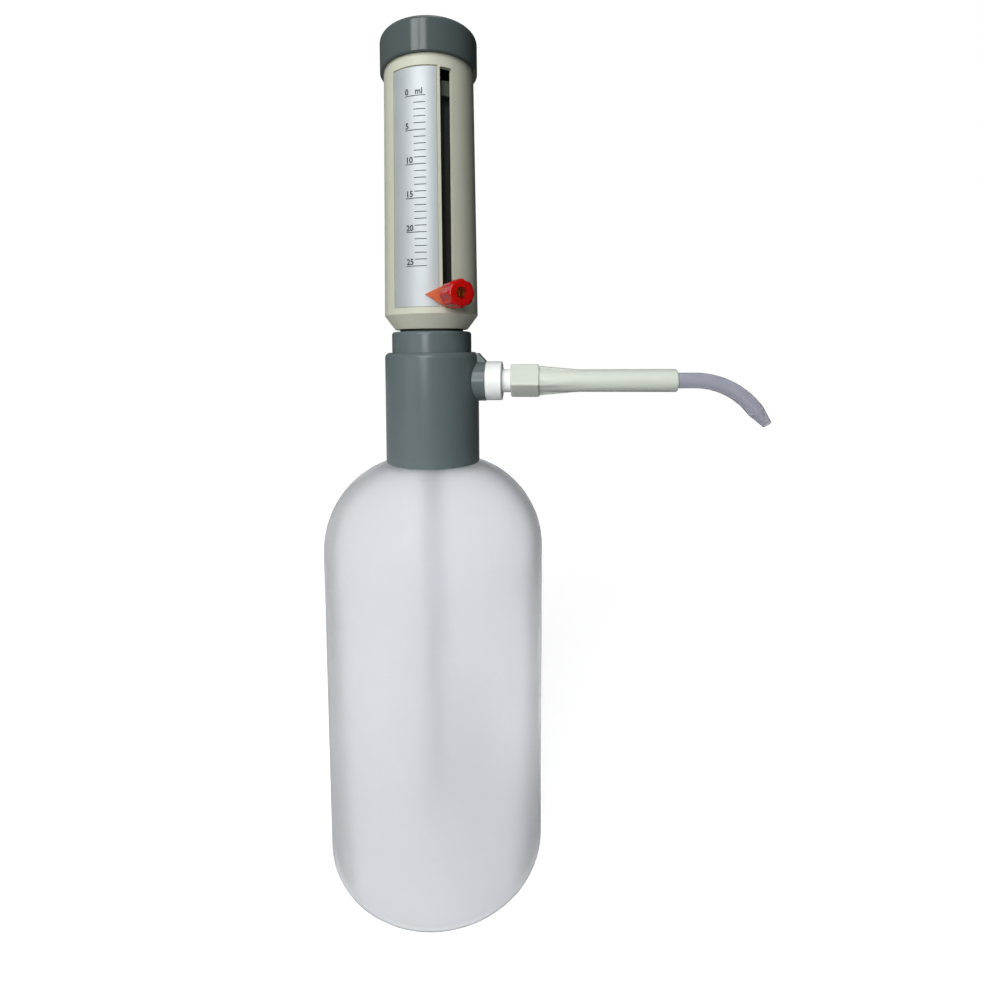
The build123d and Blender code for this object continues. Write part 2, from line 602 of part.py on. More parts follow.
# ---------------------------------------------------------------- sleeve with its slot and scale panel
lip_bore = GUIDE_R + RUN + FIT
panel_low = TAPER_TOP + PANEL_FOOT
panel_high = CAP_BOTTOM - PANEL_TOP_GAP
slot_high = CAP_BOTTOM - SLOT_TOP_GAP
slot_low = PARK_Z - SLOT_BELOW
slot_start_r = SLEEVE_BORE_R - CUT_PAST
past_sleeve = SLEEVE_LOW_R + CUT_PAST
with BuildPart() as sleeve:
    with BuildSketch(Plane.XZ):
        with BuildLine():
            Polyline(
                (lip_bore, SLEEVE_BOTTOM), (SLEEVE_FOOT_R, SLEEVE_BOTTOM), (SLEEVE_LOW_R, TAPER_TOP),
                (SLEEVE_TOP_R, CAP_BOTTOM), (SLEEVE_TOP_R, CAP_CEILING), (SLEEVE_BORE_R, CAP_CEILING),
                (SLEEVE_BORE_R, TAPER_TOP), (lip_bore, SLEEVE_BOTTOM + LIP_T), close=True,
            )
        make_face()
    revolve(axis=Axis.Z)
    with BuildSketch(section_plane(PANEL_AZ[0])):
        with BuildLine():
            Polyline(
                (sleeve_radius(panel_low) - PANEL_DEPTH, panel_low), (past_sleeve, panel_low),
                (past_sleeve, panel_high), (sleeve_radius(panel_high) - PANEL_DEPTH, panel_high), close=True,
            )
        make_face()
    revolve(axis=Axis.Z, revolution_arc=PANEL_AZ[1] - PANEL_AZ[0], mode=Mode.SUBTRACT)
    with BuildSketch(radial_plane(SLOT_AZ, (slot_low + slot_high) / 2, slot_start_r)):
        opening = Rectangle(SLOT_W, slot_high - slot_low)
        fillet(opening.vertices(), SLOT_ROUND)
    extrude(amount=past_sleeve - slot_start_r, mode=Mode.SUBTRACT)
finish(sleeve, "sleeve")

label_low = panel_low + LABEL_EDGE
label_high = panel_high - LABEL_EDGE
edge_az = degrees(LABEL_EDGE / SLEEVE_LOW_R)
label_floor = PANEL_DEPTH - FIT
with BuildPart() as label:
    with BuildSketch(section_plane(PANEL_AZ[0] + edge_az)):
        with BuildLine():
            Polyline(
                (sleeve_radius(label_low) - label_floor, label_low),
                (sleeve_radius(label_low) - label_floor + LABEL_T, label_low),
                (sleeve_radius(label_high) - label_floor + LABEL_T, label_high),
                (sleeve_radius(label_high) - label_floor, label_high), close=True,
            )
        make_face()
    revolve(axis=Axis.Z, revolution_arc=PANEL_AZ[1] - PANEL_AZ[0] - 2 * edge_az)
finish(label, "scale_label")

# ---------------------------------------------------------------- cap, rod and piston
with BuildPart() as cap:
    with BuildSketch(Plane.XY.offset(CAP_BOTTOM)):
        Circle(CAP_R)
    extrude(amount=CAP_H)
    fillet(cap.faces().sort_by(Axis.Z)[-1].edges(), CAP_ROUND)
    chamfer(cap.faces().sort_by(Axis.Z)[0].edges(), CAP_CHAMFER)
    with BuildSketch(Plane.XY.offset(CAP_BOTTOM)):
        Circle(SLEEVE_TOP_R + FIT)
    extrude(amount=CAP_CEILING - CAP_BOTTOM, mode=Mode.SUBTRACT)
    with BuildSketch(Plane.XY.offset(CAP_CEILING - CAP_BOSS_H)):
        Circle(CAP_BOSS_R)
    extrude(amount=CAP_BOSS_H)
    with BuildSketch(Plane.XY.offset(CAP_CEILING - CAP_BOSS_H)):
        Circle(ROD_R + FIT)
    extrude(amount=ROD_IN_CAP, mode=Mode.SUBTRACT)
finish(cap, "top_cap")

PISTON_BOTTOM = BLOCK_TOP + STOP_GAP
PISTON_TOP = PISTON_BOTTOM + PISTON_H
boss_bottom = CAP_CEILING - CAP_BOSS_H
turned("piston_rod", (
    (0, PISTON_TOP - PISTON_SPIGOT_L), (PISTON_SPIGOT_R, PISTON_TOP - PISTON_SPIGOT_L),
    (PISTON_SPIGOT_R, PISTON_TOP), (ROD_R, PISTON_TOP), (ROD_R, boss_bottom + ROD_IN_CAP),
    (0, boss_bottom + ROD_IN_CAP),
))
with BuildPart() as locknut:
    with BuildSketch(Plane.XY.offset(boss_bottom - LOCKNUT_H)):
        RegularPolygon(LOCKNUT_FLATS / 2, 6, major_radius=False)
        Circle(ROD_R + FIT, mode=Mode.SUBTRACT)
    extrude(amount=LOCKNUT_H)
finish(locknut, "rod_locknut")

seal_starts = (PISTON_BOTTOM + SEAL_EDGE, PISTON_TOP - SEAL_EDGE - SEAL_H)
with BuildPart() as piston:
    with BuildSketch(Plane.XY.offset(PISTON_BOTTOM)):
        Circle(PISTON_CORE_R)
    extrude(amount=PISTON_H)
    for seal_z in seal_starts:
        with BuildSketch(Plane.XY.offset(seal_z)):
            Circle(PISTON_CORE_R)
            Circle(PISTON_GROOVE_R, mode=Mode.SUBTRACT)
        extrude(amount=SEAL_H, mode=Mode.SUBTRACT)
    with BuildSketch(Plane.XY.offset(PISTON_TOP - PISTON_SPIGOT_L)):
        Circle(PISTON_SPIGOT_R + FIT)
    extrude(amount=PISTON_SPIGOT_L, mode=Mode.SUBTRACT)
finish(piston, "piston_core")
for seal_name, seal_z in zip(("piston_seal_lower", "piston_seal_upper"), seal_starts):
    turned(seal_name, ring_section(PISTON_GROOVE_R + FIT, CYL_BORE_R - SEAL_FIT, seal_z, seal_z + SEAL_H))

# ---------------------------------------------------------------- volume stop
nut_w, nut_h, nut_t = SLIDE_NUT
NUT_INNER = sqrt((SLEEVE_BORE_R - RUN) ** 2 - (nut_w / 2) ** 2) - nut_t
with BuildPart() as slide_nut:
    with BuildSketch(radial_plane(SLOT_AZ, PARK_Z, NUT_INNER)):
        Rectangle(nut_w, nut_h)
    extrude(amount=nut_t)
    with BuildSketch(radial_plane(SLOT_AZ, PARK_Z, NUT_INNER + nut_t)):
        Rectangle(SLOT_W - 2 * RUN, nut_h)
    extrude(amount=SLIDE_KEY)
    with BuildSketch(radial_plane(SLOT_AZ, PARK_Z, NUT_INNER)):
        Circle(STUD_R + FIT)
    extrude(amount=nut_t + SLIDE_KEY, mode=Mode.SUBTRACT)
finish(slide_nut, "slide_nut")

plate_in = sleeve_radius(PARK_Z - POINTER_HUB_R) + RUN
plate_out = plate_in + POINTER_T
KNOB_BACK = plate_out + KNOB_GAP
with BuildPart() as pointer:
    with BuildSketch(radial_plane(SLOT_AZ, PARK_Z, SLEEVE_BORE_R / 2)):
        with BuildSketch(mode=Mode.PRIVATE) as outline:
            Circle(POINTER_HUB_R)
            tip_run = POINTER_REACH - POINTER_TIP_R
            tilt = radians(POINTER_TILT)
            with Locations((-tip_run * cos(tilt), tip_run * sin(tilt))):
                Circle(POINTER_TIP_R)
            make_hull()
        add(outline.sketch)
        Circle(STUD_R + FIT, mode=Mode.SUBTRACT)
    extrude(amount=KNOB_BACK)
    with BuildSketch(Plane.XY.offset(PARK_Z - KNOB_R)):
        Circle(plate_out)
        Circle(plate_in, mode=Mode.SUBTRACT)
    extrude(amount=2 * KNOB_R, mode=Mode.INTERSECT)
    with BuildSketch(radial_plane(SLOT_AZ, PARK_Z, plate_out - POINTER_T / 2)):
        Circle(POINTER_SEAT_R)
        Circle(STUD_R + FIT, mode=Mode.SUBTRACT)
    extrude(amount=KNOB_GAP + POINTER_T / 2 - FIT)
finish(pointer, "pointer")

with BuildPart() as stud:
    with BuildSketch(radial_plane(SLOT_AZ, PARK_Z, NUT_INNER)):
        Circle(STUD_R)
    extrude(amount=KNOB_BACK + STUD_IN_INSERT - NUT_INNER)
finish(stud, "clamp_stud")

with BuildPart() as knob:
    with BuildSketch(radial_plane(SLOT_AZ, PARK_Z, KNOB_BACK)):
        Circle(KNOB_HUB_R)
    extrude(amount=KNOB_HUB_L)
    with BuildSketch(radial_plane(SLOT_AZ, PARK_Z, KNOB_BACK + KNOB_HUB_L - ROOT)):
        Circle(KNOB_R - KNOB_LOBE_R / 2)
        with PolarLocations(KNOB_R - KNOB_LOBE_R, KNOB_LOBES):
            Circle(KNOB_LOBE_R)
    extrude(amount=KNOB_L - KNOB_HUB_L + ROOT)
    with BuildPart(mode=Mode.INTERSECT) as rounded:
        with BuildSketch(radial_plane(SLOT_AZ, PARK_Z, KNOB_BACK)):
            Circle(KNOB_R)
        extrude(amount=KNOB_L)
        rims = rounded.edges().filter_by(GeomType.CIRCLE)
        fillet(rims.sort_by(Axis((0, 0, 0), radial_plane(SLOT_AZ, 0).z_dir))[-1], KNOB_ROUND)
    with BuildSketch(radial_plane(SLOT_AZ, PARK_Z, KNOB_BACK)):
        Circle(KNOB_BORE_R)
    extrude(amount=KNOB_L, mode=Mode.SUBTRACT)
finish(knob, "stop_knob")

with BuildPart() as insert:
    with BuildSketch(radial_plane(SLOT_AZ, PARK_Z, KNOB_BACK)):
        Circle(KNOB_BORE_R - FIT)
        Circle(STUD_R + FIT, mode=Mode.SUBTRACT)
    extrude(amount=INSERT_L)
finish(insert, "knob_insert")
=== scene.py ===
import math

import bpy
from mathutils import Matrix, Vector


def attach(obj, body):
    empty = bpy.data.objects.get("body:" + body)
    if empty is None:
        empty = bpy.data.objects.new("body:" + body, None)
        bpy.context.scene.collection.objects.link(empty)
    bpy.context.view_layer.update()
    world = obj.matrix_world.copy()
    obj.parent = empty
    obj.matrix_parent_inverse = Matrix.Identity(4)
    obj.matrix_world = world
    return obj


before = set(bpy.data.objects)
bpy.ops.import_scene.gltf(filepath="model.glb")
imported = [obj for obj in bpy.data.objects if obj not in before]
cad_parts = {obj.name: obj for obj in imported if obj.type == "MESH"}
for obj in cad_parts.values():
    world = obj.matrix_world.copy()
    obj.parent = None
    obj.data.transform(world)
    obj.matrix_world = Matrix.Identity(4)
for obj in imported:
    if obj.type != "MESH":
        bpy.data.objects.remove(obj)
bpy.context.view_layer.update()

# ---------------------------------------------------------------- viewpoint
# A hand-held camera close to the front, level with the discharge arm, turned 9 degrees
# towards it.  The lens looks above the middle of the frame, so the frame is shifted.
FRAME_SIDE_PX = 981
LENS_AXIS_X = 464.2
LENS_AXIS_Y = 365.3
FOCAL_LENGTH_PX = 541.0
SENSOR_MM = 36.0
NEAR_CLIP = 0.01
EYE = Vector((0.0519, -0.2357, 0.2173))
EYE_TURN = math.radians(9.03)
EYE_DIP = math.radians(-1.54)
EYE_ROLL = math.radians(-0.58)

lens = bpy.data.cameras.new("viewpoint")
lens.sensor_width = SENSOR_MM
lens.lens = SENSOR_MM * FOCAL_LENGTH_PX / FRAME_SIDE_PX
lens.shift_x = (FRAME_SIDE_PX / 2 - LENS_AXIS_X) / FRAME_SIDE_PX
lens.shift_y = (LENS_AXIS_Y - FRAME_SIDE_PX / 2) / FRAME_SIDE_PX
lens.clip_start = NEAR_CLIP
camera = bpy.data.objects.new("viewpoint", lens)
bpy.context.scene.collection.objects.link(camera)
camera.matrix_world = (
    Matrix.Translation(EYE)
    @ Matrix.Rotation(EYE_TURN, 4, "Z")
    @ Matrix.Rotation(math.pi / 2 + EYE_DIP, 4, "X")
    @ Matrix.Rotation(EYE_ROLL, 4, "Z")
)
bpy.context.scene.camera = camera
bpy.context.scene.view_settings.view_transform = "Standard"

# ---------------------------------------------------------------- studio
# A white table in a room that is white on the left and darker on the right.  A tall window of
# two panes lights it from high in front, with a low pane under it and a weak fill on the left.
# Three narrow low lights reach little but the milky bottle.
ROOM_WHITE = 1.0
ROOM_IN_GLOSS = (0.04, 0.0)     # at the room's left and right, as the two values below
TABLE_IN_GLOSS = (0.4, 0.0)
ROOM_FILL = (0.07, 0.01)
TABLE_SIDE = 8.0
TABLE_GREY = 0.3
TABLE_GLOW_NEAR = 0.86
TABLE_GLOW_FAR = 1.0
TABLE_FADE = 0.9                # reach from the object at which the glow is at its full
WINDOW_DISTANCE = 1.2
BOTTLE_MIDDLE = 0.075
NARROW_SPREAD = 14.0


def feed(tree, socket, value):
    """Links a socket to another one, or gives it a value."""
    if isinstance(value, bpy.types.NodeSocket):
        tree.links.new(value, socket)
    else:
        socket.default_value = value


def step(tree, kind, **inputs):
    """Adds a node.  A capital opens the name of an input, a small letter that of a setting."""
    node = tree.nodes.new(kind)
    for name, value in inputs.items():
        if name[0].isupper():
            feed(tree, node.inputs[name.replace("_", " ")], value)
        else:
            setattr(node, name, value)
    return node.outputs


def maths(tree, operation, *values):
    """Adds one step of arithmetic to a tree."""
    node = tree.nodes.new("ShaderNodeMath")
    node.operation = operation
    for socket, value in zip(node.inputs, values):
        feed(tree, socket, value)
    return node.outputs[0]


def across_room(tree, sideways, left, right):
    """A value that goes from left to right as sideways goes from -1 to 1."""
    return step(
        tree, "ShaderNodeMapRange", interpolation_type="SMOOTHSTEP",
        Value=sideways, From_Min=-1.0, To_Min=left, To_Max=right,
    )["Result"]


def white_seen(tree, sideways, left, right):
    """The white that a ray sees: all directly or through glass, from left to right in gloss."""
    path = step(tree, "ShaderNodeLightPath")
    in_gloss = maths(
        tree, "MULTIPLY", path["Is Glossy Ray"], across_room(tree, sideways, left, right)
    )
    directly = maths(tree, "MAXIMUM", path["Is Camera Ray"], path["Is Transmission Ray"])
    return maths(tree, "MAXIMUM", directly, in_gloss)


room = bpy.data.worlds.new("white room")
bpy.context.scene.world = room
room.use_nodes = True
room_tree = room.node_tree
room_direction = step(room_tree, "ShaderNodeTexCoord")["Generated"]
room_side = step(room_tree, "ShaderNodeSeparateXYZ", Vector=room_direction)["X"]
room_strength = step(
    room_tree, "ShaderNodeMapRange", Value=white_seen(room_tree, room_side, *ROOM_IN_GLOSS),
    To_Min=across_room(room_tree, room_side, *ROOM_FILL), To_Max=ROOM_WHITE,
)["Result"]
room_light = room_tree.nodes["Background"]
room_light.inputs["Color"].default_value = (1.0, 1.0, 1.0, 1.0)
feed(room_tree, room_light.inputs["Strength"], room_strength)

table_top = bpy.data.materials.new("white table")
table_top.use_nodes = True
table_tree = table_top.node_tree
table_tree.nodes.remove(table_tree.nodes["Principled BSDF"])
table_paint = step(
    table_tree, "ShaderNodeBsdfDiffuse", Color=(TABLE_GREY, TABLE_GREY, TABLE_GREY, 1.0)
)[0]
table_place = step(table_tree, "ShaderNodeTexCoord")["Object"]
table_reach = step(
    table_tree, "ShaderNodeVectorMath", operation="LENGTH", Vector=table_place
)["Value"]
table_direction = step(
    table_tree, "ShaderNodeVectorMath", operation="NORMALIZE", Vector=table_place
)["Vector"]
table_side = step(table_tree, "ShaderNodeSeparateXYZ", Vector=table_direction)["X"]
table_fade = step(
    table_tree, "ShaderNodeMapRange", Value=table_reach, From_Max=TABLE_FADE,
    To_Min=TABLE_GLOW_NEAR, To_Max=TABLE_GLOW_FAR,
)["Result"]
table_glow = step(table_tree, "ShaderNodeEmission", Strength=maths(
    table_tree, "MULTIPLY", white_seen(table_tree, table_side, *TABLE_IN_GLOSS), table_fade
))[0]
table_sum = table_tree.nodes.new("ShaderNodeAddShader")
feed(table_tree, table_sum.inputs[0], table_paint)
feed(table_tree, table_sum.inputs[1], table_glow)
feed(table_tree, table_tree.nodes["Material Output"].inputs["Surface"], table_sum.outputs[0])

table_mesh = bpy.data.meshes.new("table")
half = TABLE_SIDE / 2
table_corners = [(-half, -half, 0.0), (half, -half, 0.0), (half, half, 0.0), (-half, half, 0.0)]
table_mesh.from_pydata(table_corners, [], [(0, 1, 2, 3)])
table_mesh.materials.append(table_top)
table = bpy.data.objects.new("table", table_mesh)
bpy.context.scene.collection.objects.link(table)


def soft_light(name, azimuth, elevation, distance, width, height, power, aim=0.2, spread=180.0):
    """A rectangular light that faces the height aim on the axis.  Azimuths go from -Y to +X."""
    lamp = bpy.data.lights.new(name, "AREA")
    lamp.shape = "RECTANGLE"
    lamp.size, lamp.size_y = width, height
    lamp.energy = power
    lamp.spread = math.radians(spread)
    turn, rise = math.radians(azimuth), math.radians(elevation)
    level = math.cos(rise)
    away = Vector((math.sin(turn) * level, -math.cos(turn) * level, math.sin(rise)))
    holder = bpy.data.objects.new(name, lamp)
    holder.location = Vector((0.0, 0.0, aim)) + away * distance
    holder.rotation_euler = away.to_track_quat("Z", "Y").to_euler()
    holder.visible_camera = False
    bpy.context.scene.collection.objects.link(holder)


soft_light("left pane", -18.5, 32.0, WINDOW_DISTANCE, width=0.29, height=0.85, power=6.2)
soft_light("right pane", -0.5, 32.0, WINDOW_DISTANCE, width=0.24, height=0.85, power=5.0)
soft_light("low window", -7.0, 5.5, WINDOW_DISTANCE, width=0.32, height=0.2, power=3.0)
soft_light("left fill", -40.0, 0.0, WINDOW_DISTANCE, width=0.6, height=0.6, power=1.4)
soft_light("top light", 20.0, 87.0, WINDOW_DISTANCE, width=0.5, height=0.5, power=1.8)
soft_light(
    "low back light", 188.0, 0.0, 0.9, width=0.3, height=0.1, power=0.08,
    aim=BOTTLE_MIDDLE, spread=NARROW_SPREAD,
)
soft_light(
    "low right light", 120.0, 3.0, 0.7, width=0.3, height=0.08, power=0.13,
    aim=0.07, spread=10.0,
)
soft_light(
    "low left light", -60.0, 0.0, 0.7, width=0.3, height=0.08, power=0.03,
    aim=BOTTLE_MIDDLE, spread=NARROW_SPREAD,
)

# ---------------------------------------------------------------- reservoir
# The one-litre bottle is blow-moulded in natural polyethylene, which is milky and lets some
# light through.  Its screw thread, under the dispenser's collar, is moulded on its neck.
CLOUD_DETAIL = 3.0
GLOSS_SPREAD = 0.15             # of a finish's roughness, to either side
EVEN_SCATTER = (1.0, 1.0, 1.0)  # red, green and blue light go equally deep


def screen_colour(red, green, blue):
    """Scene colour of a colour given in 8-bit screen values."""
    return (*(((c / 255 + 0.055) / 1.055) ** 2.4 for c in (red, green, blue)), 1.0)


def moulded_plastic(
    name, colour, roughness, cloud=0.05, cloud_size=0.02, grain_size=0.0006, relief=4e-6
):
    """Plastic with faint clouds in its colour and gloss, and the grain that the mould leaves."""
    material = bpy.data.materials.new(name)
    material.use_nodes = True
    tree = material.node_tree
    shader = tree.nodes["Principled BSDF"]
    place = step(tree, "ShaderNodeTexCoord")["Object"]
    clouds = step(
        tree, "ShaderNodeTexNoise", Scale=1 / cloud_size, Detail=CLOUD_DETAIL, Vector=place
    )["Fac"]
    tint = tree.nodes.new("ShaderNodeMix")
    tint.data_type = "RGBA"
    darker, lighter, tinted = tint.inputs[6], tint.inputs[7], tint.outputs[2]
    darker.default_value = (*(c * (1 - cloud) for c in colour[:3]), 1.0)
    lighter.default_value = (*(min(1.0, c * (1 + cloud)) for c in colour[:3]), 1.0)
    feed(tree, tint.inputs["Factor"], clouds)
    feed(tree, shader.inputs["Base Color"], tinted)
    gloss = step(
        tree, "ShaderNodeMapRange", Value=clouds, To_Min=roughness * (1 - GLOSS_SPREAD),
        To_Max=min(1.0, roughness * (1 + GLOSS_SPREAD)),
    )["Result"]
    feed(tree, shader.inputs["Roughness"], gloss)
    grain = step(tree, "ShaderNodeTexNoise", Scale=1 / grain_size, Vector=place)["Fac"]
    dimples = step(tree, "ShaderNodeBump", Distance=relief, Height=grain)["Normal"]
    feed(tree, shader.inputs["Normal"], dimples)
    return material


def set_shader(material, **values):
    """Sets plain values on the sockets of a material's shader, by name with _ for a space."""
    shader = material.node_tree.nodes["Principled BSDF"]
    for socket, value in values.items():
        shader.inputs[socket.replace("_", " ")].default_value = value


def finish_node(material, *nodes):
    """Gives CAD nodes their material."""
    for node in nodes:
        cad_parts[node].material_slots[0].material = material


natural_polyethylene = moulded_plastic(
    "natural polyethylene", screen_colour(228, 229, 231), 0.7,
    cloud=0.02, cloud_size=0.05, relief=1.2e-5,
)
set_shader(
    natural_polyethylene, Subsurface_Weight=1.0, Subsurface_Radius=EVEN_SCATTER,
    Subsurface_Scale=0.003, Specular_IOR_Level=0.3, Transmission_Weight=0.8, IOR=1.12,
)
finish_node(natural_polyethylene, "bottle")


def sizes_tree(name, **sizes):
    """Starts a Geometry Nodes tree: a mesh, these sizes and a finish go in, a mesh comes out."""
    tree = bpy.data.node_groups.new(name, "GeometryNodeTree")
    tree.interface.new_socket("Mesh", in_out="INPUT", socket_type="NodeSocketGeometry")
    for size, value in sizes.items():
        kind = "NodeSocketInt" if isinstance(value, int) else "NodeSocketFloat"
        socket = tree.interface.new_socket(
            size.replace("_", " "), in_out="INPUT", socket_type=kind
        )
        socket.default_value = value
    tree.interface.new_socket("Finish", in_out="INPUT", socket_type="NodeSocketMaterial")
    tree.interface.new_socket("Mesh", in_out="OUTPUT", socket_type="NodeSocketGeometry")
    return tree, tree.nodes.new("NodeGroupInput").outputs


def end_tree(tree, sizes, mesh):
    """Ends a tree with its instances made real, in its finish."""
    real = step(tree, "GeometryNodeRealizeInstances", Geometry=mesh)[0]
    finished = step(tree, "GeometryNodeSetMaterial", Geometry=real, Material=sizes["Finish"])[0]
    tree.links.new(finished, tree.nodes.new("NodeGroupOutput").inputs[0])


def made_by(tree, name, body, slot, finish, start=None, **sizes):
    """Runs a tree and keeps its result as a plain mesh, a piece that rides on a body."""
    piece = bpy.data.objects.new(name, start or bpy.data.meshes.new(name))
    bpy.context.scene.collection.objects.link(piece)
    grower = piece.modifiers.new(name, "NODES")
    grower.node_group = tree
    given = {size.replace("_", " "): value for size, value in sizes.items()} | {"Finish": finish}
    for socket in tree.interface.items_tree:
        if socket.in_out == "INPUT" and socket.name in given:
            grower[socket.identifier] = given[socket.name]
    grown = piece.evaluated_get(bpy.context.evaluated_depsgraph_get())
    plain = bpy.data.meshes.new_from_object(grown)
    piece.modifiers.remove(grower)
    piece.data = plain
    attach(piece, body)


THREAD_TURNS = 2.75
THREAD_PITCH = 0.0040
THREAD_HEIGHT = 0.0009
NECK_THREAD_LOW = 0.1731
NECK_THREAD_HALF_WIDTH = 0.0008
NECK_RADIUS = 0.0174
POINTS_PER_TURN = 96
RIDGE_POINTS = 14
RUN_OUT_START = 0.05            # size of the ridge at either end
RUN_OUT_RATE = 16.0             # at which it grows, per length of the thread

thread_tree, thread = sizes_tree(
    "screw thread", Turns=THREAD_TURNS, Pitch=THREAD_PITCH, Low_End=NECK_THREAD_LOW,
    Wall_Radius=NECK_RADIUS, Height=THREAD_HEIGHT, Half_Width=NECK_THREAD_HALF_WIDTH,
)
helix = step(
    thread_tree, "GeometryNodeCurveSpiral", Resolution=POINTS_PER_TURN, Rotations=thread["Turns"],
    Start_Radius=thread["Wall Radius"], End_Radius=thread["Wall Radius"],
    Height=maths(thread_tree, "MULTIPLY", thread["Turns"], thread["Pitch"]),
)[0]
raised = step(thread_tree, "ShaderNodeCombineXYZ", Z=thread["Low End"])[0]
helix = step(thread_tree, "GeometryNodeSetPosition", Geometry=helix, Offset=raised)[0]
helix = step(thread_tree, "GeometryNodeSetCurveNormal", Curve=helix, mode="Z_UP")[0]
part_way = step(thread_tree, "GeometryNodeSplineParameter")["Factor"]
from_end = maths(
    thread_tree, "MINIMUM", part_way, maths(thread_tree, "SUBTRACT", 1.0, part_way)
)
growing = maths(thread_tree, "MULTIPLY_ADD", from_end, RUN_OUT_RATE, RUN_OUT_START)
run_out = maths(thread_tree, "MINIMUM", growing, 1.0)
ridge = step(
    thread_tree, "GeometryNodeCurvePrimitiveCircle", Resolution=RIDGE_POINTS, Radius=1.0
)[0]
ridge_size = step(
    thread_tree, "ShaderNodeCombineXYZ", X=thread["Half Width"], Y=thread["Height"], Z=1.0
)[0]
ridge = step(thread_tree, "GeometryNodeTransform", Geometry=ridge, Scale=ridge_size)[0]
turns = step(
    thread_tree, "GeometryNodeCurveToMesh", Curve=helix, Profile_Curve=ridge, Scale=run_out,
    Fill_Caps=True,
)[0]
end_tree(thread_tree, thread, turns)
made_by(thread_tree, "neck_thread", "reservoir", "reservoir_plastic", natural_polyethylene)

# ---------------------------------------------------------------- valve housing
# The collar that screws on the bottle, with the ring above it and the boss of the discharge
# arm, is one glossy blue-grey polypropylene moulding.  Its thread runs between the neck's turns.
COLLAR_THREAD_HALF_WIDTH = 0.0006
COLLAR_BORE_RADIUS = 0.0187

housing_grey = moulded_plastic(
    "blue-grey polypropylene", screen_colour(96, 108, 110), 0.24, cloud=0.06
)
set_shader(housing_grey, Specular_IOR_Level=0.25)
finish_node(housing_grey, "valve_housing")
made_by(
    thread_tree, "collar_thread", "head", "housing_plastic", housing_grey,
    Low_End=NECK_THREAD_LOW - THREAD_PITCH / 2, Wall_Radius=COLLAR_BORE_RADIUS,
    Half_Width=COLLAR_THREAD_HALF_WIDTH,
)

# ---------------------------------------------------------------- seals
# Gasket, O-ring, cylinder seal, nozzle seal and the piston's two rings are soft black rubber,
# moulded as rings and held between the pieces that they seal.
seal_rubber = moulded_plastic(
    "black seal rubber", screen_colour(42, 42, 44), 0.62, cloud=0.15, cloud_size=0.004
)
finish_node(
    seal_rubber,
    "neck_gasket", "cylinder_oring", "cylinder_top_seal", "nozzle_seal",
    "piston_seal_lower", "piston_seal_upper",
)

# ---------------------------------------------------------------- valve block and its small parts
# The block that carries the two valves, their seats, the cage, the liner, the tube's connector
# and the piston are turned from white fluoropolymer, which looks waxy.
white_fluoropolymer = moulded_plastic(
    "white fluoropolymer", screen_colour(238, 238, 236), 0.4, cloud=0.02
)
set_shader(
    white_fluoropolymer, Subsurface_Weight=0.2, Subsurface_Radius=EVEN_SCATTER,
    Subsurface_Scale=0.001,
)
finish_node(
    white_fluoropolymer,
    "valve_block", "intake_seat", "intake_cage", "intake_connector", "discharge_seat",
    "discharge_liner", "piston_core",
)

# ---------------------------------------------------------------- intake tube
# A clear, slightly milky fluoropolymer tube, pushed on the connector's nipple and cut at a
# slant just above the bottle's floor.
clear_fluoropolymer = moulded_plastic(
    "clear fluoropolymer", screen_colour(226, 230, 233), 0.16, cloud=0.03
)
set_shader(clear_fluoropolymer, Transmission_Weight=0.8, IOR=1.34)
finish_node(clear_fluoropolymer, "intake_tube")

# ---------------------------------------------------------------- valve balls and spring
# Each valve closes with a ground glass ball.  The one in the discharge arm is held shut by a
# small spring wound from stainless wire.
RING_SPACING = 0.0004
RING_WAVER = 0.6

ground_glass = moulded_plastic(
    "ground glass", screen_colour(225, 233, 236), 0.12, cloud=0.02, relief=1e-6
)
set_shader(ground_glass, Transmission_Weight=0.85, IOR=1.5)
finish_node(ground_glass, "intake_ball", "discharge_ball")


def turned_metal(name, colour, roughness, relief=2e-6):
    """Metal turned on a lathe, with faint rings along its height."""
    material = moulded_plastic(
        name, colour, roughness, cloud=0.04, cloud_size=0.005, relief=relief
    )
    set_shader(material, Metallic=1.0)
    tree = material.node_tree
    rings = step(
        tree, "ShaderNodeTexWave", bands_direction="Z", Scale=0.5 / RING_SPACING,
        Distortion=RING_WAVER, Vector=tree.nodes["Texture Coordinate"].outputs["Object"],
    )["Fac"]
    marks = step(
        tree, "ShaderNodeBump", Distance=relief, Height=rings,
        Normal=tree.nodes["Bump"].outputs["Normal"],
    )["Normal"]
    feed(tree, tree.nodes["Principled BSDF"].inputs["Normal"], marks)
    return material


spring_steel = turned_metal("spring wire", screen_colour(200, 200, 196), 0.22)
finish_node(spring_steel, "discharge_spring")

# ---------------------------------------------------------------- cylinder, guide and stop collar
# The liquid is measured in a clear borosilicate cylinder.  A black tube round it guides the
# sleeve, and the grey collar clipped on its top is what the volume stop meets.
cylinder_glass = moulded_plastic(
    "borosilicate glass", screen_colour(240, 246, 247), 0.03, cloud=0.01, relief=5e-7
)
set_shader(cylinder_glass, Transmission_Weight=1.0, IOR=1.47)
finish_node(cylinder_glass, "glass_cylinder")
guide_black = moulded_plastic("black guide plastic", screen_colour(64, 66, 64), 0.6, cloud=0.12)
set_shader(guide_black, Specular_IOR_Level=0.1)
finish_node(guide_black, "guide_tube")
collar_grey = moulded_plastic(
    "grey stop collar plastic", screen_colour(70, 76, 67), 0.4, cloud=0.06
)
set_shader(collar_grey, Specular_IOR_Level=0.25)
finish_node(collar_grey, "stop_collar")

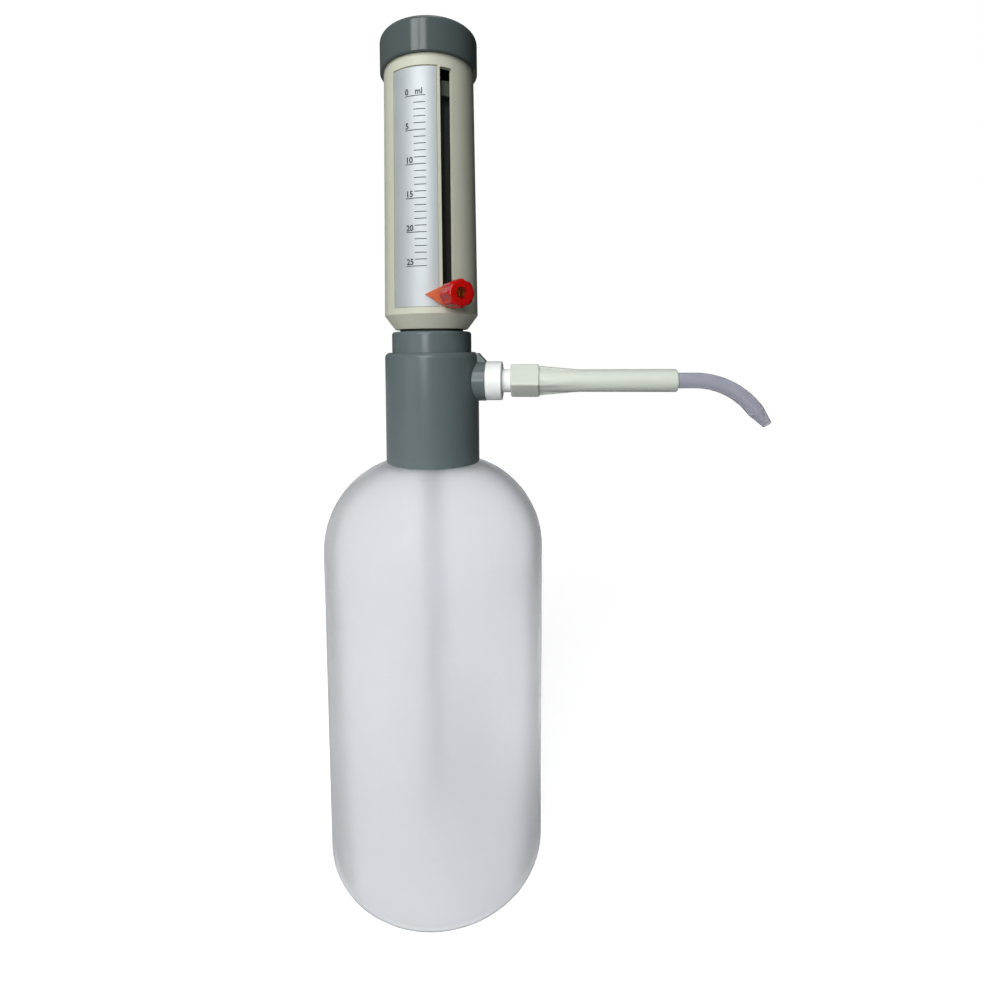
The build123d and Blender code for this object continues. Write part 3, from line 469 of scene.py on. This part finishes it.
# ---------------------------------------------------------------- sleeve
# The sleeve that is lifted to dispense: beige-grey satin plastic, moulded with a shallow
# recess for the scale and an upright slot for the volume stop.
sleeve_beige = moulded_plastic(
    "beige-grey plastic", screen_colour(201, 203, 186), 0.4, cloud=0.03, relief=6e-6
)
set_shader(sleeve_beige, Specular_IOR_Level=0.25)
finish_node(sleeve_beige, "sleeve")

# ---------------------------------------------------------------- scale
# A silvered foil in the sleeve's recess, printed in black: a line for each millilitre from 0
# at the top to 25, longer and numbered at every fifth.
scale_foil = moulded_plastic(
    "silver scale foil", screen_colour(182, 188, 191), 0.55,
    cloud=0.03, cloud_size=0.01, relief=2e-6,
)
set_shader(scale_foil, Metallic=0.4)
finish_node(scale_foil, "scale_label")

FOIL_TOP_Z = 0.33195
FOIL_TOP_RADIUS = 0.0194
FOIL_DRAFT = 0.00905
PRINT_THICKNESS = 0.00003
SCALE_END_ML = 25
NUMERAL_EVERY = 5
ZERO_LINE_Z = 0.3209
LINE_SPACING = 0.002755
LINE_THICKNESS = 0.00033
LONG_LINE_LEFT, SHORT_LINE_LEFT, LINE_RIGHT = -0.0060, -0.0023, 0.0027
LINE_POINTS = 14                # along a line, so that it follows the foil's round
NUMERAL_SIZE = 0.0034
NUMERAL_SQUEEZE = 0.95
NUMERAL_BOLDNESS = 0.0001
NUMERAL_CURVE_STEPS = 3
NUMERAL_RISE = 0.0006           # of the numerals above their lines
UNIT_LEFT = -0.0016

print_ink = moulded_plastic(
    "black printing ink", screen_colour(38, 44, 50), 0.55, cloud=0.1, relief=1e-6
)


def flat_words(words, left, line_height):
    """Plain words as a flat mesh that faces -Y, begun at left and standing just above a line."""
    text = bpy.data.curves.new("words", "FONT")
    text.body, text.size, text.resolution_u = words, NUMERAL_SIZE, NUMERAL_CURVE_STEPS
    text.offset = NUMERAL_BOLDNESS
    holder = bpy.data.objects.new("words", text)
    bpy.context.scene.collection.objects.link(holder)
    evaluated = holder.evaluated_get(bpy.context.evaluated_depsgraph_get())
    mesh = bpy.data.meshes.new_from_object(evaluated)
    bpy.data.objects.remove(holder)
    squeeze = Matrix.Diagonal((NUMERAL_SQUEEZE, 1.0, 1.0, 1.0))
    place = Matrix.Translation((left, 0.0, line_height + NUMERAL_RISE)) @ squeeze
    mesh.transform(place @ Matrix.Rotation(math.pi / 2, 4, "X"))
    return mesh


numerals = [
    flat_words(str(ml), LONG_LINE_LEFT, ZERO_LINE_Z - ml * LINE_SPACING)
    for ml in range(0, SCALE_END_ML + 1, NUMERAL_EVERY)
]
numerals.append(flat_words("ml", UNIT_LEFT, ZERO_LINE_Z))
corners, faces = [], []
for numeral in numerals:
    faces += [[len(corners) + corner for corner in face.vertices] for face in numeral.polygons]
    corners += [tuple(corner.co) for corner in numeral.vertices]
flat_numerals = bpy.data.meshes.new("numerals")
flat_numerals.from_pydata(corners, [], faces)

print_tree, layout = sizes_tree(
    "scale print", Lines=SCALE_END_ML + 1, Spacing=LINE_SPACING, Zero_Height=ZERO_LINE_Z,
    Line_Height=LINE_THICKNESS, Long_Line_Left=LONG_LINE_LEFT, Short_Line_Left=SHORT_LINE_LEFT,
    Line_Right=LINE_RIGHT, Foil_Top=FOIL_TOP_Z, Foil_Top_Radius=FOIL_TOP_RADIUS,
    Draft=FOIL_DRAFT, Thickness=PRINT_THICKNESS,
)
number = step(print_tree, "GeometryNodeInputIndex")[0]
past_numeral = maths(print_tree, "MODULO", number, NUMERAL_EVERY)
is_numbered = maths(print_tree, "LESS_THAN", past_numeral, 0.5)
left = step(
    print_tree, "ShaderNodeMapRange", Value=is_numbered, To_Min=layout["Short Line Left"],
    To_Max=layout["Long Line Left"],
)[0]
length = maths(print_tree, "SUBTRACT", layout["Line Right"], left)
middle = maths(print_tree, "MULTIPLY", maths(print_tree, "ADD", layout["Line Right"], left), 0.5)
first_place = step(print_tree, "ShaderNodeCombineXYZ", Z=layout["Zero Height"])[0]
fall = maths(print_tree, "MULTIPLY", layout["Spacing"], -1.0)
down = step(print_tree, "ShaderNodeCombineXYZ", Z=fall)[0]
column = step(
    print_tree, "GeometryNodeMeshLine", Count=layout["Lines"], Start_Location=first_place,
    Offset=down,
)[0]
sideways = step(print_tree, "ShaderNodeCombineXYZ", X=middle)[0]
column = step(print_tree, "GeometryNodeSetPosition", Geometry=column, Offset=sideways)[0]
bar = step(
    print_tree, "GeometryNodeMeshCube", Size=(1.0, 1.0, 1.0), Vertices_X=LINE_POINTS,
    Vertices_Y=2, Vertices_Z=2,
)[0]
bar_size = step(
    print_tree, "ShaderNodeCombineXYZ", X=length, Y=layout["Thickness"], Z=layout["Line Height"]
)[0]
bars = step(
    print_tree, "GeometryNodeInstanceOnPoints", Points=column, Instance=bar, Scale=bar_size
)[0]
bars = step(print_tree, "GeometryNodeRealizeInstances", Geometry=bars)[0]
flat_print = step(print_tree, "GeometryNodeJoinGeometry", Geometry=bars)
print_tree.links.new(layout["Mesh"], flat_print[0].node.inputs[0])
flat_point = step(print_tree, "GeometryNodeInputPosition")[0]
flat_place = step(print_tree, "ShaderNodeSeparateXYZ", Vector=flat_point)
drop = maths(print_tree, "SUBTRACT", layout["Foil Top"], flat_place["Z"])
foil_radius = maths(print_tree, "MULTIPLY_ADD", drop, layout["Draft"], layout["Foil Top Radius"])
lifted = maths(print_tree, "ADD", foil_radius, layout["Thickness"])
radius = maths(print_tree, "SUBTRACT", lifted, flat_place["Y"])
angle = maths(print_tree, "DIVIDE", flat_place["X"], foil_radius)
across = maths(print_tree, "MULTIPLY", radius, maths(print_tree, "SINE", angle))
depth = maths(print_tree, "MULTIPLY", radius, maths(print_tree, "COSINE", angle))
forward = maths(print_tree, "MULTIPLY", depth, -1.0)
wrapped = step(print_tree, "ShaderNodeCombineXYZ", X=across, Y=forward, Z=flat_place["Z"])[0]
round_print = step(
    print_tree, "GeometryNodeSetPosition", Geometry=flat_print[0], Position=wrapped
)[0]
end_tree(print_tree, layout, round_print)
made_by(print_tree, "scale_print", "plunger", "scale_foil", print_ink, start=flat_numerals)

# ---------------------------------------------------------------- cap and piston rod
# The glossy dark grey cap closes the sleeve and carries the piston's rod, which is turned from
# stainless steel and held by a nut.
cap_grey = moulded_plastic("dark grey cap plastic", screen_colour(80, 90, 90), 0.14, cloud=0.06)
set_shader(cap_grey, Specular_IOR_Level=0.25)
finish_node(cap_grey, "top_cap")
rod_steel = turned_metal("turned stainless steel", screen_colour(205, 207, 208), 0.2)
finish_node(rod_steel, "piston_rod", "rod_locknut")

# ---------------------------------------------------------------- volume stop
# A brass stud clamps a brass nut behind the slot and a clear orange pointer in front of it.
# It is tightened by a red star knob with a brass insert in its hole.
knob_brass = turned_metal("turned brass", screen_colour(184, 150, 82), 0.22)
finish_node(knob_brass, "clamp_stud", "slide_nut", "knob_insert")
pointer_orange = moulded_plastic(
    "clear orange-red plastic", screen_colour(244, 140, 98), 0.14, cloud=0.04
)
set_shader(pointer_orange, Transmission_Weight=0.55, IOR=1.49)
finish_node(pointer_orange, "pointer")
knob_red = moulded_plastic(
    "red knob plastic", screen_colour(182, 16, 14), 0.16, cloud=0.06, cloud_size=0.006
)
set_shader(knob_red, Specular_IOR_Level=0.2)
finish_node(knob_red, "stop_knob")

# ---------------------------------------------------------------- discharge arm
# A white union nut holds the white connector on the side boss.  The pale grey-green nozzle and
# its translucent grey drop tube swivel on it.
union_white = moulded_plastic(
    "white nut plastic", screen_colour(243, 247, 245), 0.42, cloud=0.015
)
finish_node(union_white, "union_nut", "outlet_connector")
nozzle_pale = moulded_plastic(
    "pale grey-green plastic", screen_colour(212, 219, 209), 0.38, cloud=0.02
)
set_shader(
    nozzle_pale, Specular_IOR_Level=0.3, Subsurface_Weight=0.5, Subsurface_Radius=EVEN_SCATTER,
    Subsurface_Scale=0.003,
)
finish_node(nozzle_pale, "nozzle_body")
drop_tube_grey = moulded_plastic(
    "translucent grey fluoropolymer", screen_colour(196, 197, 208), 0.22, cloud=0.04
)
set_shader(drop_tube_grey, Transmission_Weight=0.6, IOR=1.34)
finish_node(drop_tube_grey, "discharge_tube")
